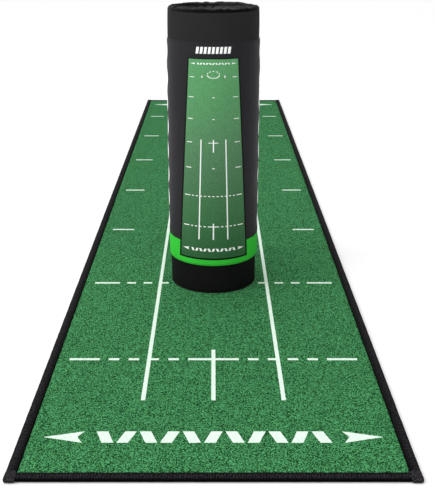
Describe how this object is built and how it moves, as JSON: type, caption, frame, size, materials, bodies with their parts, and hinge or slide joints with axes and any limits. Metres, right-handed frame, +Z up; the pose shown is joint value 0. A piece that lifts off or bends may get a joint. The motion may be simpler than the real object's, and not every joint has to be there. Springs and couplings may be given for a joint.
{
  "type": "practice putting mat",
  "caption": "Short-pile green putting mat with a bound edge and white alignment lines, carrying its upright cylindrical drawstring storage bag.",
  "frame": {"origin": "centre of the mat's footprint, on the floor under the mat", "axes": "+Z up, out of the pile; +Y along the mat's length, from the near end to the end with the hole ring; +X to the right across its width"},
  "size_m": [0.5, 2.4048, 0.5018],
  "materials": {
    "underlay_rubber": "matt",
    "backing_weave": "woven",
    "green_turf": "short pile",
    "white_turf": "short pile",
    "binding_tape": "woven tape",
    "black_thread": "matt",
    "base_fabric": "matt",
    "stiffener_board": "matt",
    "lime_fabric": "matt",
    "sleeve_fabric": "matt",
    "foam": "foam",
    "lining_fabric": "matt",
    "cuff_fabric": "satin",
    "sleeve_tape": "woven tape",
    "cord_braid": "braided",
    "lock_plastic": "fine grain",
    "spring_wire": "drawn",
    "picture_film": "printed film",
    "white_print": "printed"
  },
  "bodies": {
    "mat": {"rubber_underlay": "underlay_rubber", "primary_backing": "backing_weave", "turf_pile": "green_turf", "white_pile_markings": "white_turf", "left_edge_binding": "binding_tape", "right_edge_binding": "binding_tape", "near_end_binding": "binding_tape", "far_end_binding": "binding_tape", "left_edge_stitching": "black_thread", "right_edge_stitching": "black_thread", "near_end_stitching": "black_thread", "far_end_stitching": "black_thread"},
    "storage_bag": {"bag_base_fabric": "base_fabric", "bag_base_board": "stiffener_board", "bag_base_panel": "base_fabric", "green_band": "lime_fabric", "outer_sleeve": "sleeve_fabric", "foam_padding": "foam", "inner_lining": "lining_fabric", "top_cuff": "cuff_fabric", "band_lower_stitching": "black_thread", "cuff_stitching": "black_thread", "back_seam_tape": "sleeve_tape", "gathered_top": "cuff_fabric", "mouth_hem": "cuff_fabric", "cord_exit_binding": "sleeve_tape", "drawcord": "cord_braid", "drawcord_knot": "cord_braid", "picture_panel": "picture_film", "title_print": "white_print", "left_side_print": "white_print", "right_side_print": "white_print"},
    "cord_lock": {"cord_lock_body": "lock_plastic", "cord_lock_spring": "spring_wire"},
    "lock_button": {"cord_lock_button": "lock_plastic"}
  },
  "joints": [
    {"name": "bag_lift", "type": "slide", "parent": "mat", "child": "storage_bag", "axis": [0, 0, 1], "range_m": [0, 0.35]},
    {"name": "cord_lock_slide", "type": "slide", "parent": "storage_bag", "child": "cord_lock", "axis": [0, 0, -1], "range_m": [0, 0.014]},
    {"name": "lock_button_press", "type": "slide", "parent": "cord_lock", "child": "lock_button", "axis": [0, -1, 0], "range_m": [0, 0.003], "stiffness_N_per_m": 900, "springref_m": -0.002, "deforming": ["cord_lock_spring"]}
  ]
}
